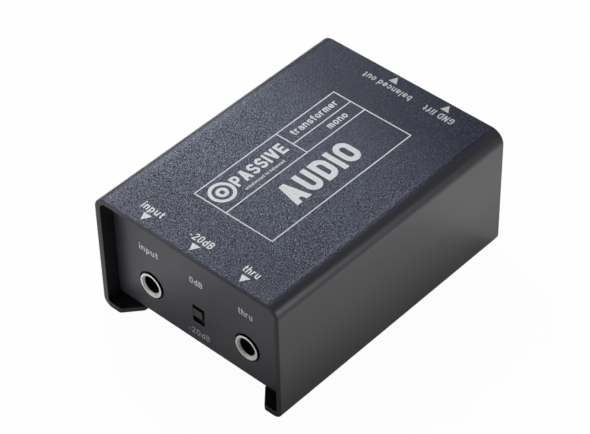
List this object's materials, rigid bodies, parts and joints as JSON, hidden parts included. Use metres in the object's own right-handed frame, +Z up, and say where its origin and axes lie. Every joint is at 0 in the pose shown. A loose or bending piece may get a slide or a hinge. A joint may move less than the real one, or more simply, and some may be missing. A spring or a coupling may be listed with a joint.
{
  "type": "direct injection box",
  "caption": "Small folded-steel audio direct injection box with two panel jacks, two slide switches and a balanced output socket.",
  "frame": {"origin": "centre of the bounding box's underside, the plane the two bottom flanges rest on", "axes": "+Z up; the front panel with the two jacks faces -Y and the balanced output faces +Y; +X is to the right of someone facing the front panel"},
  "size_m": [0.076, 0.104, 0.0465],
  "materials": {
    "textured_paint": "wrinkle powder coat, matt",
    "panel_paint": "smooth satin",
    "black_zinc_steel": "black zinc",
    "zinc_steel": "bright zinc",
    "tinned_brass": "tinned",
    "green_insulation": "satin",
    "green_laminate": "gloss mask",
    "jack_nylon": "satin",
    "nickel_plate": "bright nickel",
    "spring_bronze": "rolled",
    "phenolic": "matt",
    "knob_plastic": "satin",
    "black_diecast": "satin black",
    "gold_plate": "bright",
    "lamination_steel": "varnished",
    "bobbin_nylon": "matt",
    "enamelled_copper": "enamel",
    "polyester_tape": "gloss",
    "resistor_blue": "lacquer",
    "capacitor_red": "epoxy"
  },
  "bodies": {
    "enclosure": {"capacitor_leads": "tinned_brass", "chassis_tray": "panel_paint", "clinch_nuts": "zinc_steel", "cover_screws": "black_zinc_steel", "film_capacitors": "capacitor_red", "ground_lug": "tinned_brass", "ground_screw": "zinc_steel", "ground_wire": "green_insulation", "input_jack_body": "jack_nylon", "input_jack_lugs": "tinned_brass", "input_jack_nose": "nickel_plate", "input_tip_terminal": "tinned_brass", "lift_switch_base": "phenolic", "lift_switch_frame": "nickel_plate", "lift_switch_pins": "tinned_brass", "main_pcb": "green_laminate", "pad_switch_base": "phenolic", "pad_switch_frame": "nickel_plate", "pad_switch_pins": "tinned_brass", "pcb_screws": "zinc_steel", "pcb_standoffs": "zinc_steel", "resistor_bodies": "resistor_blue", "resistor_leads": "tinned_brass", "sleeve_cover": "textured_paint", "thru_jack_body": "jack_nylon", "thru_jack_lugs": "tinned_brass", "thru_jack_nose": "nickel_plate", "thru_tip_terminal": "tinned_brass", "transformer_bobbin": "bobbin_nylon", "transformer_e_core": "lamination_steel", "transformer_i_core": "lamination_steel", "transformer_pins": "tinned_brass", "transformer_tape": "polyester_tape", "transformer_winding": "enamelled_copper", "xlr_insert": "jack_nylon", "xlr_nuts": "zinc_steel", "xlr_pins": "gold_plate", "xlr_screws": "black_zinc_steel", "xlr_shell": "black_diecast"},
    "pad_slider": {"pad_switch_slider": "knob_plastic"},
    "lift_slider": {"lift_switch_slider": "knob_plastic"},
    "input_spring": {"input_tip_spring": "spring_bronze"},
    "thru_spring": {"thru_tip_spring": "spring_bronze"}
  },
  "joints": [
    {"name": "pad_switch_slide", "type": "slide", "parent": "enclosure", "child": "pad_slider", "axis": [0, 0, -1], "range_m": [0, 0.002]},
    {"name": "lift_switch_slide", "type": "slide", "parent": "enclosure", "child": "lift_slider", "axis": [0, 0, -1], "range_m": [0, 0.002]},
    {"name": "input_tip_spring_flex", "type": "hinge", "parent": "enclosure", "child": "input_spring", "pos_m": [-0.02065, -0.0179, 0.0219], "axis": [-1, 0, 0], "range_deg": [0, 9]},
    {"name": "thru_tip_spring_flex", "type": "hinge", "parent": "enclosure", "child": "thru_spring", "pos_m": [0.01985, -0.0179, 0.0219], "axis": [-1, 0, 0], "range_deg": [0, 9]}
  ]
}
